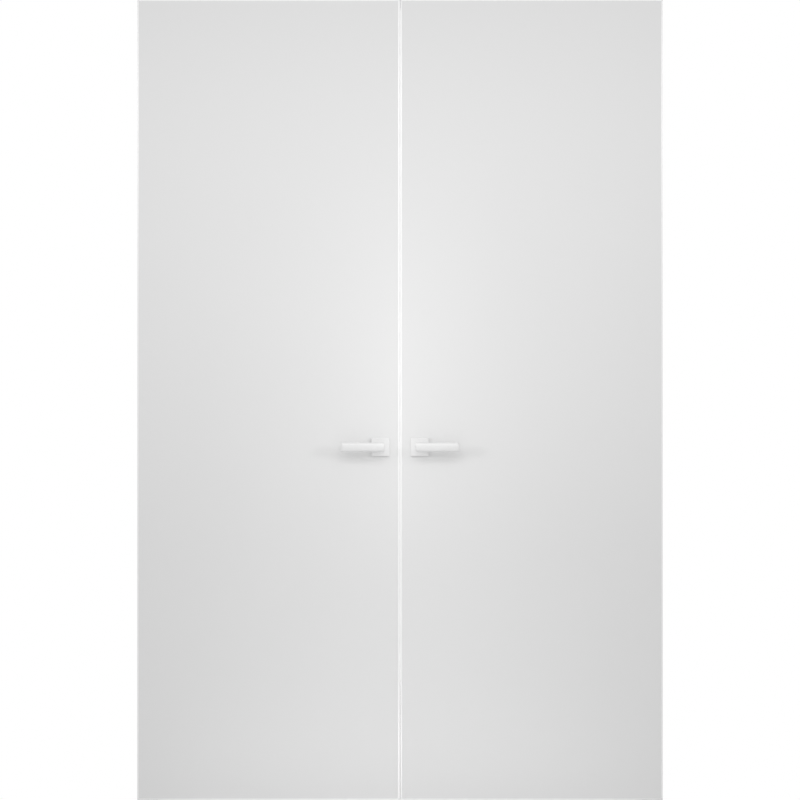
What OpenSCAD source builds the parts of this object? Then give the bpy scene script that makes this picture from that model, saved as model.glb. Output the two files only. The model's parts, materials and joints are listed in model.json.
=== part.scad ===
// Flush double interior door: two leaves edged in aluminium, hung on pivots in a slim
// frame that they hide from the front. Millimetres. X runs to the right seen from the
// front, Y runs from the front to the back, Z is up. The origin is on the floor, on the
// line where the leaves meet, halfway through their thickness.

/* [Leaves] */
// Width of one leaf
leaf_w = 753.5; // [600:0.5:1000]
// Height of a leaf
leaf_h = 2300; // [1900:10:2700]
// Thickness of a leaf
leaf_t = 40; // [38:1:48]
// Gap between the two meeting edges
meeting_gap = 3; // [2:0.5:5]
// Gap between a leaf's top edge and the head
head_gap = 4; // [3:0.5:8]
// Gap between the sill plate and a leaf's bottom edge
sill_gap = 4; // [3:0.5:8]
// Thickness of a face sheet
skin_t = 4; // [3:0.5:6]
// Width of the stile on the pivot side
pivot_stile_w = 70; // [64:1:120]
// Width of the stile on the meeting side, which holds the lock
meeting_stile_w = 110; // [100:1:150]
// Height of the rails across the top and bottom
rail_h = 90; // [40:5:160]
// Diameter of the long bores that lighten the core
core_bore_d = 20; // [10:1:24]
// Least web between two of those bores
core_web = 9; // [5:1:20]

/* [Aluminium edging] */
// Width of edging that shows on a face
edge_face_w = 4.5; // [3.5:0.5:10]
// Thickness of the edging on the edge itself
edge_base = 2; // [1.5:0.5:3]
// Depth that a meeting seal's root sits in that edging
seal_root = 1; // [0.6:0.1:1.2]
// Thickness of that root
seal_root_t = 1.2; // [0.8:0.1:1.2]
// Thickness of a meeting seal's lip
lip_t = 2; // [1.2:0.1:3]
// Distance from a leaf's face to that lip
lip_in = 0.6; // [0.4:0.1:2]

/* [Frame] */
// Depth of the head and sill, from front to back
frame_depth = 120; // [100:5:200]
// Height of the head
head_h = 35; // [30:1:80]
// Wall of the head profile
head_wall = 3; // [2:0.5:5]
// Width of a jamb
jamb_w = 65; // [60:1:100]
// Wall of the jambs and of the stop bar
jamb_wall = 2.5; // [2:0.5:5]
// Thickness of the sill plate
sill_t = 6; // [5:0.5:12]
// Height and depth of the stop bar under the head
stop_bar = 30; // [20:1:36]
// Width of a stop seal
seal_w = 13.5; // [10:0.5:20]
// Bore of a stop seal
seal_bore_d = 6; // [3:0.5:7]
// Height of a corner cleat
cleat_h = 40; // [25:1:80]
// Radius of the holes for the wall screws
wall_hole_r = 3.5; // [2.5:0.5:5]
// Distance between the two columns of wall screws
wall_cols = 36; // [20:1:50]
// Distance between the top and bottom wall screws
wall_rows = 1900; // [1200:50:2200]

/* [Pivots] */
// Distance from a leaf's outer edge to the pivot axis
pivot_inset = 22; // [19:0.5:26]
// Radius of the floor pin
floor_pin_r = 6; // [4:0.5:7]
// Radius of the head pin
head_pin_r = 5; // [4:0.5:7]
// Length of a pin inside its bearing
pin_grip = 18; // [12:1:24]
// Outer radius of the head bush
bush_r = 9; // [8.5:0.5:12]
// Radius of the collar that carries a leaf
collar_r = 11; // [9:0.5:13]
// Half the thickness of a pivot box
pivot_box_y = 11; // [10:0.5:14]
// Height of a pivot box
pivot_box_h = 28; // [26:1:40]
// Length of a pivot box from the axis towards the seam
pivot_box_l = 45; // [40:1:58]

/* [Handles] */
// Height of the handle's axis above a leaf's bottom edge
handle_up = 1014; // [850:1:1200]
// Distance from the meeting edge to the handle's axis
backset = 55; // [50:1:70]
// Side of the square rose
rose_w = 52; // [50:1:60]
// Thickness of a rose
rose_t = 9; // [7:0.5:14]
// Wall of a rose
rose_wall = 2.5; // [1.5:0.5:4]
// Distance from the handle's axis to a rose bolt
rose_bolt_x = 19; // [19:0.5:21]
// Radius of a rose bolt
rose_bolt_r = 2; // [1.5:0.5:2.5]
// Length of a lever from its axis to the tip
lever_reach = 114; // [90:1:140]
// Height of the lever's oval bar
bar_high = 26; // [18:1:30]
// Depth of the lever's oval bar
bar_deep = 18; // [10:1:22]
// Radius of the lever's neck
neck_r = 11.5; // [8:0.5:11.5]
// Distance from the leaf's face to the middle of the bar
bar_out = 46; // [36:1:60]
// Side of the square spindle
spindle_w = 8; // [7:1:9]
// Angle that a lever turns down through
lever_turn = 45; // [20:1:45]

/* [Lock] */
// Thickness of the plates let into the meeting edges
plate_t = 3; // [2.5:0.5:4]
// Width of those plates
plate_w = 22; // [20:1:24]
// Height of the lock's faceplate
face_h = 235; // [180:5:280]
// Outer thickness of the lock case
case_t = 16; // [14:1:20]
// Wall of the lock case
case_wall = 1.5; // [1:0.25:2]
// Half the height of the lock case
case_half_h = 60; // [56:1:80]
// Length of the follower's arm
arm_r = 27; // [25:0.5:28]
// Height of the bolt head
bolt_h = 24; // [16:1:26]
// Thickness of the bolt
bolt_t = 10; // [6:1:11]
// Travel of the bolt into the strike
bolt_travel = 9; // [6:0.5:10]
// Height of the strike plate
strike_h = 90; // [70:1:140]
// Depth of the strike box behind its plate
strike_deep = 12; // [10:0.5:20]

/* [Flush bolts] */
// Distance from the meeting edge to a rod's axis
rod_in = 12; // [10.5:0.5:15]
// Radius of a rod
rod_r = 4; // [3:0.5:4.5]
// Length of a rod
rod_l = 150; // [120:5:300]
// Height of a flush bolt's body
body_h = 120; // [90:5:160]
// Travel of the upper rod
top_travel = 15; // [10:0.5:16]
// Travel of the lower rod
bottom_travel = 9; // [6:0.5:9]
// Distance from a leaf's end to the plate of a flush bolt
body_in = 45; // [40:1:55]
// Distance from that plate's lower end to the thumb slide
thumb_up = 38; // [34:1:44]

/* [Clearances] */
// Radial clearance of a turning or sliding fit
run_fit = 0.05; // [0.02:0.01:0.1]
// Clearance round a fixed piece in its seat
seat_fit = 0.1; // [0.05:0.05:0.3]
// Clearance beside a piece that passes by another
pass_gap = 0.3; // [0.3:0.05:0.6]
// Clearance behind the circle that a leaf's outer corner sweeps
sweep_gap = 1.8; // [1:0.1:4]
// Gap between the lip of a meeting seal and the active leaf
lip_gap = 0.5; // [0.3:0.1:1]

/* [Hidden] */
$fn = 64;

// Colours of the finishes
lacquer = [0.86, 0.86, 0.86];
edging = [0.95, 0.95, 0.95];
frame_white = [0.93, 0.93, 0.93];
timber = [0.80, 0.66, 0.46];
chipboard = [0.72, 0.60, 0.42];
steel = [0.66, 0.67, 0.69];
handle_white = [0.94, 0.94, 0.94];
nylon = [0.88, 0.88, 0.86];
rubber_grey = [0.70, 0.70, 0.70];
rubber_white = [0.92, 0.92, 0.92];

// Leaf on the right, whose mirror image is the leaf on the left
leaf_x0 = meeting_gap / 2;
leaf_x1 = leaf_x0 + leaf_w;
leaf_z0 = sill_t + sill_gap;
leaf_z1 = leaf_z0 + leaf_h;
leaf_y = leaf_t / 2;
skin_y = leaf_y - skin_t;
in_x0 = leaf_x0 + edge_base;
in_x1 = leaf_x1 - edge_base;
in_z0 = leaf_z0 + edge_base;
in_z1 = leaf_z1 - edge_base;
core_x0 = in_x0 + meeting_stile_w;
core_x1 = in_x1 - pivot_stile_w;
core_z0 = in_z0 + rail_h;
core_z1 = in_z1 - rail_h;

// Pivots and frame
pivot_x = leaf_x1 - pivot_inset;
pivot_box_out = pivot_inset - 9;
sweep_r = norm([pivot_inset, leaf_y]);
frame_y0 = -leaf_y;
frame_y1 = frame_y0 + frame_depth;
jamb_y0 = sweep_r + sweep_gap;
jamb_x0 = leaf_x1 - jamb_w;
head_z0 = leaf_z1 + head_gap;
head_z1 = head_z0 + head_h;
seal_y0 = leaf_y + pass_gap;
seal_x1 = pivot_x - leaf_y - 2.5;
seal_x0 = seal_x1 - seal_w;
cleat_x = (jamb_x0 + leaf_x1) / 2;
jamb_mid_y = (jamb_y0 + frame_y1) / 2;
stop_bar_y1 = jamb_y0 + stop_bar;
wall_mid_z = (sill_t + head_z0) / 2;
box_screw_xs = [pivot_x - pivot_box_l + 9, pivot_x - pivot_box_l + 23];
plate_screw_xs = [pivot_x - pivot_box_l + 8, pivot_x - collar_r - 8];
floor_plate_t = sill_t / 2;

// Handles and lock
spindle_x = leaf_x0 + backset;
handle_z = leaf_z0 + handle_up;
plate_y = plate_w / 2;
plate_x1 = leaf_x0 + plate_t;
case_y = case_t / 2;
case_in_y = case_y - case_wall;
arm_half = 3.5;
arm_top = arm_r + arm_half;
tail_z0 = handle_z + arm_top + 0.7;
tail_t = 7;
tail_z1 = tail_z0 + tail_t;
latch_z = tail_z1 - bolt_h / 2;
hook_x0 = spindle_x + arm_r * sin(lever_turn) + arm_half + 0.4;
hook_x1 = hook_x0 + 4;
case_x1 = hook_x1 + 0.8 + case_wall;
hub_r = 12;
journal_r = 9;
bolt_y = bolt_t / 2;
nose_x = leaf_x0 + 0.5;
bolt_head_l = 22;
nose_x1 = nose_x + bolt_head_l;
spring_z = tail_z1 + 5.2;
spring_x0 = nose_x1 + 5.3;
spring_l = 20;
lug_x0 = spring_x0 + spring_l + 2 * pass_gap;
spring_r = 3;
spring_wire_r = 0.45;
neck_in = leaf_y + 0.5;
spindle_end = leaf_y + 30;

strike_box_half = bolt_h / 2 + 5;
magnet_half = bolt_h / 2 - 2;

// Flush bolts in the passive leaf, described at its top edge
rod_x = leaf_x0 + rod_in;
rod_back = rod_x + rod_r + 4;
rod_side = rod_r + 4;
body_z1 = leaf_z1 - body_in;
body_z0 = body_z1 - body_h;
thumb_z0 = body_z0 + thumb_up;
thumb_h = 14;
thumb_y = 3;
rod_top = leaf_z1 - pass_gap;
strike_r = rod_r + 3;
leaf_mid_z = (leaf_z0 + leaf_z1) / 2;

// Box between two corners
module block(low, high) translate(low) cube(high - low);

// Rod along X, Y or Z
module rod_x_way(x0, x1, y, z, r) translate([x0, y, z]) rotate([0, 90, 0])
    cylinder(r = r, h = x1 - x0);
module rod_y_way(x, y0, y1, z, r) translate([x, y0, z]) rotate([-90, 0, 0])
    cylinder(r = r, h = y1 - y0);
module rod_z_way(x, y, z0, z1, r) translate([x, y, z0]) cylinder(r = r, h = z1 - z0);

// A piece on the left leaf is the right one's mirror image
module on_left() mirror([1, 0, 0]) children();
module on_both() {
    children();
    on_left() children();
}
// A piece at the back is the front one's mirror image
module at_back() mirror([0, 1, 0]) children();
// A piece at a leaf's lower end is the upper one's mirror image
module at_foot() translate([0, 0, 2 * leaf_mid_z]) mirror([0, 0, 1]) children();

// Sunk-head screw with its head's top at z = 0, pointing down; grow makes its hole
module screw(length, r, head_r, head_h, grow = 0) {
    rod_z_way(0, 0, -length - grow, 0, r + grow);
    rod_z_way(0, 0, -head_h - grow, grow, head_r + grow);
}

// Screw through a plate on a meeting edge, pointing into the leaf
module edge_screw(z, y = 0, grow = 0) translate([leaf_x0, y, z]) rotate([0, -90, 0])
    screw(22, 1.8, 3.4, 2, grow);

// Screw through a pivot box at the leaf's top, pointing down into the stile
module box_screws(grow = 0)
    for (x = box_screw_xs) translate([x, 0, leaf_z1]) screw(pivot_box_h + 22, 2.2, 4.4, 2.5, grow);

// Space in a leaf for the pivot box at its top
module pivot_room() block(
    [pivot_x - pivot_box_l - seat_fit, -pivot_box_y - seat_fit, leaf_z1 - pivot_box_h - seat_fit],
    [pivot_x + pivot_box_out + seat_fit, pivot_box_y + seat_fit, leaf_z1 + 1]);

// Space for a plate let into the meeting edge, centred on z
module plate_room(z, h) block(
    [leaf_x0 - 1, -plate_y - seat_fit, z - h / 2 - seat_fit],
    [plate_x1 + seat_fit, plate_y + seat_fit, z + h / 2 + seat_fit]);

module edge_plate(z, h) block([leaf_x0, -plate_y, z - h / 2], [plate_x1, plate_y, z + h / 2]);

// Holes through the leaf for the handle
module handle_holes(y0, y1) {
    rod_y_way(spindle_x, y0, y1, handle_z, hub_r);
    for (s = [-1, 1]) rod_y_way(spindle_x + s * rose_bolt_x, y0, y1, handle_z, rose_bolt_r + 1);
}

// Hollows of the lock in the active leaf's meeting stile
lock_screw_zs = [handle_z - face_h / 2 + 12, handle_z + face_h / 2 - 12];
module lock_room() {
    plate_room(handle_z, face_h);
    block([plate_x1, -case_y - seat_fit, handle_z - case_half_h - seat_fit],
        [case_x1 + seat_fit, case_y + seat_fit, handle_z + case_half_h + seat_fit]);
    for (z = lock_screw_zs) edge_screw(z, grow = seat_fit);
}

// Hollows of the strike and the flush bolts in the passive leaf's meeting stile
strike_screw_zs = [latch_z - strike_h / 2 + 9, latch_z + strike_h / 2 - 9];
// The upper screw of a flush bolt's body stands beside the rod
module body_screws(grow = 0) {
    edge_screw(body_z0 + 9, grow = grow);
    edge_screw(body_z1 - 9, y = rod_r + 3.2, grow = grow);
}
module strike_room() {
    plate_room(latch_z, strike_h);
    block([plate_x1, -case_y - seat_fit, latch_z - strike_box_half - seat_fit],
        [plate_x1 + strike_deep + seat_fit, case_y + seat_fit, latch_z + strike_box_half + seat_fit]);
    for (z = strike_screw_zs) edge_screw(z, grow = seat_fit);
}
module flush_bolt_room() {
    plate_room((body_z0 + body_z1) / 2, body_h);
    block([plate_x1, -rod_side - seat_fit, body_z0 + 18 - seat_fit],
        [rod_back + seat_fit, rod_side + seat_fit, body_z1 - 18 + seat_fit]);
    rod_z_way(rod_x, 0, rod_top - rod_l - 1, leaf_z1 + 1, rod_r + pass_gap);
    body_screws(seat_fit);
}

// Face sheet at the front of a leaf
module leaf_skin() color(lacquer) difference() {
    block([leaf_x0 + edge_face_w, -leaf_y, leaf_z0 + edge_face_w],
        [leaf_x1 - edge_face_w, -skin_y, leaf_z1 - edge_face_w]);
    handle_holes(-leaf_y - 1, -skin_y + 1);
}

// Stile on the pivot side, cut for both pivot boxes
module pivot_stile() color(timber) difference() {
    block([core_x1, -skin_y, in_z0], [in_x1, skin_y, in_z1]);
    pivot_room();
    box_screws(seat_fit);
    at_foot() {
        pivot_room();
        box_screws(seat_fit);
    }
}

// Stile on the meeting side, whose hollows are the children
module meeting_stile() color(timber) difference() {
    block([in_x0, -skin_y, in_z0], [core_x0, skin_y, in_z1]);
    handle_holes(-leaf_y, leaf_y);
    children();
}

// Top and bottom rails between the stiles
module rails() color(timber) {
    block([core_x0, -skin_y, core_z1], [core_x1, skin_y, in_z1]);
    block([core_x0, -skin_y, in_z0], [core_x1, skin_y, core_z0]);
}

// Core board with a row of long bores
core_pitch = core_bore_d + core_web;
core_bores = floor((core_x1 - core_x0 - core_web) / core_pitch);
module core() color(chipboard) difference() {
    block([core_x0, -skin_y, core_z0], [core_x1, skin_y, core_z1]);
    for (i = [0 : core_bores - 1])
        rod_z_way((core_x0 + core_x1 - (core_bores - 1) * core_pitch) / 2 + i * core_pitch, 0,
            core_z0 - 1, core_z1 + 1, core_bore_d / 2);
}

// All four lengths of edging in one piece: a base with a lip over each face sheet
module edging_ring() difference() {
    block([leaf_x0, -leaf_y, leaf_z0], [leaf_x1, leaf_y, leaf_z1]);
    block([leaf_x0 + edge_face_w, -leaf_y - 1, leaf_z0 + edge_face_w],
        [leaf_x1 - edge_face_w, leaf_y + 1, leaf_z1 - edge_face_w]);
    block([in_x0, -skin_y, in_z0], [in_x1, skin_y, in_z1]);
}
// Wedge that mitres an upright length of edging, from the outer edge at x inwards
module mitre_wedge(x, inwards) translate([0, leaf_y + 1, 0]) rotate([90, 0, 0])
    linear_extrude(leaf_t + 2)
        polygon([[x - inwards, leaf_z0 - 1], [x + inwards * edge_face_w, leaf_z0 + edge_face_w],
            [x + inwards * edge_face_w, leaf_z1 - edge_face_w], [x - inwards, leaf_z1 + 1]]);
module pivot_edge() color(edging) intersection() {
    edging_ring();
    mitre_wedge(leaf_x1, -1);
}
module meeting_edge() color(edging) difference() {
    intersection() {
        edging_ring();
        mitre_wedge(leaf_x0, 1);
    }
    children();
}
// Soft seals along the passive leaf's edge, whose lips fill the gap at the front and the back
lip_y0 = -leaf_y + lip_in;
root_y0 = lip_y0 + (lip_t - seal_root_t) / 2;
module seal_groove() block([leaf_x0 - 1, root_y0 - seat_fit, leaf_z0 - 1],
    [leaf_x0 + seal_root + seat_fit, root_y0 + seal_root_t + seat_fit, leaf_z1 + 1]);
module meeting_seal() {
    block([lip_gap - leaf_x0, lip_y0, leaf_z0], [leaf_x0, lip_y0 + lip_t, leaf_z1]);
    block([0, root_y0, leaf_z0], [leaf_x0 + seal_root, root_y0 + seal_root_t, leaf_z1]);
}
module meeting_seals() color(rubber_white) on_left() {
    meeting_seal();
    at_back() meeting_seal();
}
module end_edges() color(edging) difference() {
    edging_ring();
    mitre_wedge(leaf_x1, -1);
    mitre_wedge(leaf_x0, 1);
    pivot_room();
    at_foot() pivot_room();
    children();
}

// Steel box in the leaf's bottom edge, bored for the floor pin
module lower_pivot_box() color(steel) difference() {
    at_foot() block([pivot_x - pivot_box_l, -pivot_box_y, leaf_z1 - pivot_box_h],
        [pivot_x + pivot_box_out, pivot_box_y, leaf_z1]);
    rod_z_way(pivot_x, 0, leaf_z0 - 1, leaf_z0 + pin_grip + 1, floor_pin_r + run_fit);
    at_foot() box_screws(seat_fit);
}
// Steel box in the leaf's top edge with the pin that stands up into the head
module upper_pivot_box() color(steel) difference() {
    union() {
        block([pivot_x - pivot_box_l, -pivot_box_y, leaf_z1 - pivot_box_h],
            [pivot_x + pivot_box_out, pivot_box_y, leaf_z1]);
        rod_z_way(pivot_x, 0, leaf_z1 - 1, head_z0 + pin_grip, head_pin_r);
    }
    box_screws(seat_fit);
}

// Square rose at the front, hollow, with a boss round each bolt
rose_y1 = leaf_y + rose_t;
module rose() color(handle_white) difference() {
    block([spindle_x - rose_w / 2, -rose_y1, handle_z - rose_w / 2],
        [spindle_x + rose_w / 2, -leaf_y, handle_z + rose_w / 2]);
    difference() {
        block([spindle_x - rose_w / 2 + rose_wall, -rose_y1 + rose_wall, handle_z - rose_w / 2 + rose_wall],
            [spindle_x + rose_w / 2 - rose_wall, -leaf_y + 1, handle_z + rose_w / 2 - rose_wall]);
        for (s = [-1, 1])
            rod_y_way(spindle_x + s * rose_bolt_x, -rose_y1, -leaf_y, handle_z, rose_bolt_r + 2.8);
    }
    for (s = [-1, 1])
        rod_y_way(spindle_x + s * rose_bolt_x, -rose_y1 + rose_wall, -leaf_y + 1, handle_z,
            rose_bolt_r + seat_fit);
    rod_y_way(spindle_x, -rose_y1 - 1, -leaf_y + 1, handle_z, neck_r + run_fit);
}

// Open ring springs that turn the levers back, one inside each rose
module rose_spring() difference() {
    rod_y_way(spindle_x, -leaf_y - 4.4, -leaf_y - 0.4, handle_z, neck_r + 2.1);
    rod_y_way(spindle_x, -leaf_y - 5, -leaf_y, handle_z, neck_r + 0.7);
    block([spindle_x - 5, -leaf_y - 5, handle_z], [spindle_x + 5, -leaf_y, handle_z + neck_r + 5]);
}
module rose_springs() color(steel) {
    rose_spring();
    at_back() rose_spring();
}

// Lever at the front: a round neck and an oval bar cut square at both ends
module lever() color(handle_white) difference() {
    union() {
        rod_y_way(spindle_x, -leaf_y - bar_out, -neck_in, handle_z, neck_r);
        translate([spindle_x - neck_r, -leaf_y - bar_out, handle_z]) rotate([0, 90, 0])
            linear_extrude(lever_reach + neck_r) oval(bar_high / 2, bar_deep / 2);
    }
    spindle_bar(-spindle_end - 1, 0, run_fit);
}

// Oval of four arcs that run into each other, from its half length and half width
arc_share = 0.78;
module oval(half_l, half_w) {
    r = arc_share * half_w;
    big_r = (half_w ^ 2 + (half_l - r) ^ 2 - r ^ 2) / (2 * (half_w - r));
    join_x = (half_l - r) * big_r / (big_r - r);
    for (s = [-1, 1]) translate([s * (half_l - r), 0]) circle(r);
    intersection() {
        translate([0, big_r - half_w]) circle(big_r, $fn = 180);
        translate([0, half_w - big_r]) circle(big_r, $fn = 180);
        square([2 * join_x, 2 * half_w], center = true);
    }
}

// Square bar along the handle's axis
module spindle_bar(y0, y1, grow) block(
    [spindle_x - spindle_w / 2 - grow, y0, handle_z - spindle_w / 2 - grow],
    [spindle_x + spindle_w / 2 + grow, y1, handle_z + spindle_w / 2 + grow]);
module spindle() color(steel) spindle_bar(-spindle_end, spindle_end, 0);

// Long bolts that draw the two roses together
module rose_bolts()
    for (s = [-1, 1])
        rod_y_way(spindle_x + s * rose_bolt_x, -rose_y1 + rose_wall + seat_fit,
            rose_y1 - rose_wall - seat_fit, handle_z, rose_bolt_r);
module pivot_box_screws() {
    box_screws();
    at_foot() box_screws();
}

// Plate in the active leaf's meeting edge, open for the bolt
module lock_faceplate() color(steel) difference() {
    edge_plate(handle_z, face_h);
    block([leaf_x0 - 1, -bolt_y - pass_gap, latch_z - bolt_h / 2 - pass_gap],
        [plate_x1 + 1, bolt_y + pass_gap, latch_z + bolt_h / 2 + pass_gap]);
    for (z = lock_screw_zs) edge_screw(z, grow = seat_fit);
}

// Tray of the lock: front side, four walls, and the stop for the bolt's spring
module lock_case() color(steel) difference() {
    union() {
        difference() {
            block([plate_x1, -case_y, handle_z - case_half_h],
                [case_x1, case_in_y, handle_z + case_half_h]);
            block([plate_x1 + case_wall, -case_in_y, handle_z - case_half_h + case_wall],
                [case_x1 - case_wall, case_y, handle_z + case_half_h - case_wall]);
        }
        block([spring_x0 - 3, -case_in_y - 0.5, tail_z1 + 1], [spring_x0 - pass_gap, 4, spring_z + 4]);
    }
    block([plate_x1 - 1, -bolt_y - pass_gap, latch_z - bolt_h / 2 - pass_gap],
        [plate_x1 + case_wall + 1, bolt_y + pass_gap, latch_z + bolt_h / 2 + pass_gap]);
    lock_case_holes();
}
// Cover that closes the tray at the back
module lock_cover() color(steel) difference() {
    block([plate_x1, case_in_y, handle_z - case_half_h], [case_x1, case_y, handle_z + case_half_h]);
    lock_case_holes();
}
module lock_case_holes() {
    rod_y_way(spindle_x, -case_y - 1, case_y + 1, handle_z, journal_r + run_fit);
    for (s = [-1, 1])
        rod_y_way(spindle_x + s * rose_bolt_x, -case_y - 1, case_y + 1, handle_z, rose_bolt_r + 0.5);
}

// Hub that the spindle turns, with the arm that draws the bolt back
module lock_follower() color(steel) difference() {
    union() {
        rod_y_way(spindle_x, -case_in_y + pass_gap, case_in_y - pass_gap, handle_z, hub_r);
        rod_y_way(spindle_x, -case_y, case_y, handle_z, journal_r);
        block([spindle_x - arm_half, -bolt_y, handle_z], [spindle_x + arm_half, bolt_y, handle_z + arm_r]);
        rod_y_way(spindle_x, -bolt_y, bolt_y, handle_z + arm_r, arm_half);
    }
    spindle_bar(-case_y - 1, case_y + 1, run_fit);
}

// Bolt that a magnet draws out, drawn back here: head, tail, hook and spring lug
module magnet_bolt() color(steel) {
    block([nose_x, -bolt_y, latch_z - bolt_h / 2], [nose_x1, bolt_y, tail_z1]);
    block([nose_x1 - 1, -bolt_y, tail_z0], [hook_x1, bolt_y, tail_z1]);
    block([hook_x0, -bolt_y, handle_z + hub_r], [hook_x1, bolt_y, tail_z1]);
    block([lug_x0, -bolt_y, tail_z1 - 1], [lug_x0 + 3, bolt_y, spring_z + 4]);
}

// Coil that pushes the bolt back, as one tube swept along a helix
spring_turns = 7;
spring_steps = 12;
spring_sides = 6;
spring_rings = spring_turns * spring_steps;
function coil_point(i, j) =
    let (
        turn = 360 * i / spring_steps,
        round_wire = 360 * j / spring_sides,
        r = spring_r + spring_wire_r * cos(round_wire),
        run = spring_wire_r + (spring_l - 2 * spring_wire_r) * i / spring_rings)
    [spring_x0 + run + spring_wire_r * sin(round_wire), r * cos(turn), spring_z + r * sin(turn)];
module bolt_spring() color(steel) polyhedron(
    points = [for (i = [0 : spring_rings]) for (j = [0 : spring_sides - 1]) coil_point(i, j)],
    faces = concat(
        [for (i = [0 : spring_rings - 1]) for (j = [0 : spring_sides - 1])
            let (k = (j + 1) % spring_sides, a = i * spring_sides, b = a + spring_sides)
            each [[a + j, a + k, b + k], [a + j, b + k, b + j]]],
        [[for (j = [spring_sides - 1 : -1 : 0]) j]],
        [[for (j = [0 : spring_sides - 1]) spring_rings * spring_sides + j]]));

// Plate in the passive leaf's meeting edge that the bolt enters
module strike_plate() on_left() color(steel) difference() {
    edge_plate(latch_z, strike_h);
    block([leaf_x0 - 1, -bolt_y - 2 * pass_gap, latch_z - bolt_h / 2 - 2 * pass_gap],
        [plate_x1 + 1, bolt_y + 2 * pass_gap, latch_z + bolt_h / 2 + 2 * pass_gap]);
    for (z = strike_screw_zs) edge_screw(z, grow = seat_fit);
}
// Nylon box behind the strike plate, with a pocket for the bolt and one for the magnet
pocket_x1 = bolt_travel - nose_x + 1.5;
magnet_x0 = pocket_x1 + 0.8;
magnet_x1 = plate_x1 + strike_deep - 1.5;
module strike_box() on_left() color(nylon) difference() {
    block([plate_x1, -case_y, latch_z - strike_box_half],
        [plate_x1 + strike_deep, case_y, latch_z + strike_box_half]);
    block([plate_x1 - 1, -bolt_y - 2 * pass_gap, latch_z - bolt_h / 2 - 2 * pass_gap],
        [pocket_x1, bolt_y + 2 * pass_gap, latch_z + bolt_h / 2 + 2 * pass_gap]);
    block([magnet_x0, -bolt_y, latch_z - magnet_half],
        [plate_x1 + strike_deep + 1, bolt_y, latch_z + magnet_half]);
}
module strike_magnet() on_left() color(steel) block(
    [magnet_x0 + seat_fit, -bolt_y + seat_fit, latch_z - magnet_half + seat_fit],
    [magnet_x1, bolt_y - seat_fit, latch_z + magnet_half - seat_fit]);

// Body of the upper flush bolt: a plate, a block that guides the rod, and the thumb slot
module flush_bolt_body(travel) difference() {
    union() {
        edge_plate((body_z0 + body_z1) / 2, body_h);
        block([plate_x1 - 0.5, -rod_side, body_z0 + 18], [rod_back, rod_side, body_z1 - 18]);
    }
    rod_z_way(rod_x, 0, body_z0 - 1, leaf_z1, rod_r + run_fit);
    block([leaf_x0 - 1, -thumb_y - pass_gap, thumb_z0 - 1],
        [rod_x, thumb_y + pass_gap, thumb_z0 + thumb_h + travel + 1]);
    body_screws(seat_fit);
}
module flush_bolt_bodies() color(steel) on_left() {
    flush_bolt_body(top_travel);
    at_foot() flush_bolt_body(bottom_travel);
}
// Rod of the upper flush bolt with its thumb slide, drawn back
module flush_bolt_rod() color(steel) {
    rod_z_way(rod_x, 0, rod_top - rod_l, rod_top, rod_r);
    block([leaf_x0 + 0.4, -thumb_y, thumb_z0], [rod_x, thumb_y, thumb_z0 + thumb_h]);
}
module upper_flush_bolt() on_left() flush_bolt_rod();
module lower_flush_bolt() on_left() at_foot() flush_bolt_rod();

// Frame screws: cleats to sill and head, stop bar to head, floor plates to sill
stop_screw_pitch = 290;
stop_bar_screw_xs = [for (i = [-2 : 2]) i * stop_screw_pitch];
module frame_screw_set(grow = 0) {
    on_both() for (y = [jamb_y0 + 17, frame_y1 - 17]) {
        translate([cleat_x, y, 0]) mirror([0, 0, 1]) screw(30, 2.5, 5, 2.8, grow);
        translate([cleat_x, y, head_z0 + head_wall + 2.8]) screw(30, 2.5, 5, 2.8, grow);
    }
    for (x = stop_bar_screw_xs)
        translate([x, jamb_y0 + stop_bar / 2, head_z0 + head_wall + 2.8]) screw(14, 2.5, 5, 2.8, grow);
    on_both() for (x = plate_screw_xs)
        translate([x, 0, sill_t]) screw(sill_t - 0.4, 1.6, 3.2, 1.6, grow);
}

// Head: a two-chamber profile above the leaves
module head_jamb() color(frame_white) difference() {
    block([-leaf_x1, frame_y0, head_z0], [leaf_x1, frame_y1, head_z1]);
    block([-leaf_x1 - 1, frame_y0 + head_wall, head_z0 + head_wall],
        [leaf_x1 + 1, jamb_y0 - head_wall, head_z1 - head_wall]);
    block([-leaf_x1 - 1, jamb_y0, head_z0 + head_wall],
        [leaf_x1 + 1, frame_y1 - head_wall, head_z1 - head_wall]);
    on_both() rod_z_way(pivot_x, 0, head_z0 - 1, head_z0 + head_wall + 1, bush_r + seat_fit);
    rod_z_way(-rod_x, 0, head_z0 - 1, head_z0 + head_wall + 1, strike_r + seat_fit);
    frame_screw_set(seat_fit);
}

// Jamb behind the outer part of a leaf, bored for the wall screws
wall_ys = [jamb_mid_y - wall_cols / 2, jamb_mid_y + wall_cols / 2];
wall_zs = [wall_mid_z - wall_rows / 2, wall_mid_z, wall_mid_z + wall_rows / 2];
module jamb() color(frame_white) difference() {
    block([jamb_x0, jamb_y0, sill_t], [leaf_x1, frame_y1, head_z0]);
    block([jamb_x0 + jamb_wall, jamb_y0 + jamb_wall, sill_t - 1],
        [leaf_x1 - jamb_wall, frame_y1 - jamb_wall, head_z0 + 1]);
    for (y = wall_ys, z = wall_zs) rod_x_way(jamb_x0 - 1, leaf_x1 + 1, y, z, wall_hole_r);
}

// Sill plate, let in for the floor plates and pierced for the lower flush bolt
module sill_plate() color(frame_white) difference() {
    block([-leaf_x1, frame_y0, 0], [leaf_x1, frame_y1, sill_t]);
    on_both() block([pivot_x - pivot_box_l - seat_fit, -pivot_box_y - seat_fit, sill_t - floor_plate_t],
        [pivot_x + pivot_box_out + seat_fit, pivot_box_y + seat_fit, sill_t + 1]);
    rod_z_way(-rod_x, 0, -1, sill_t + 1, strike_r + seat_fit);
    frame_screw_set(seat_fit);
}

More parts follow.
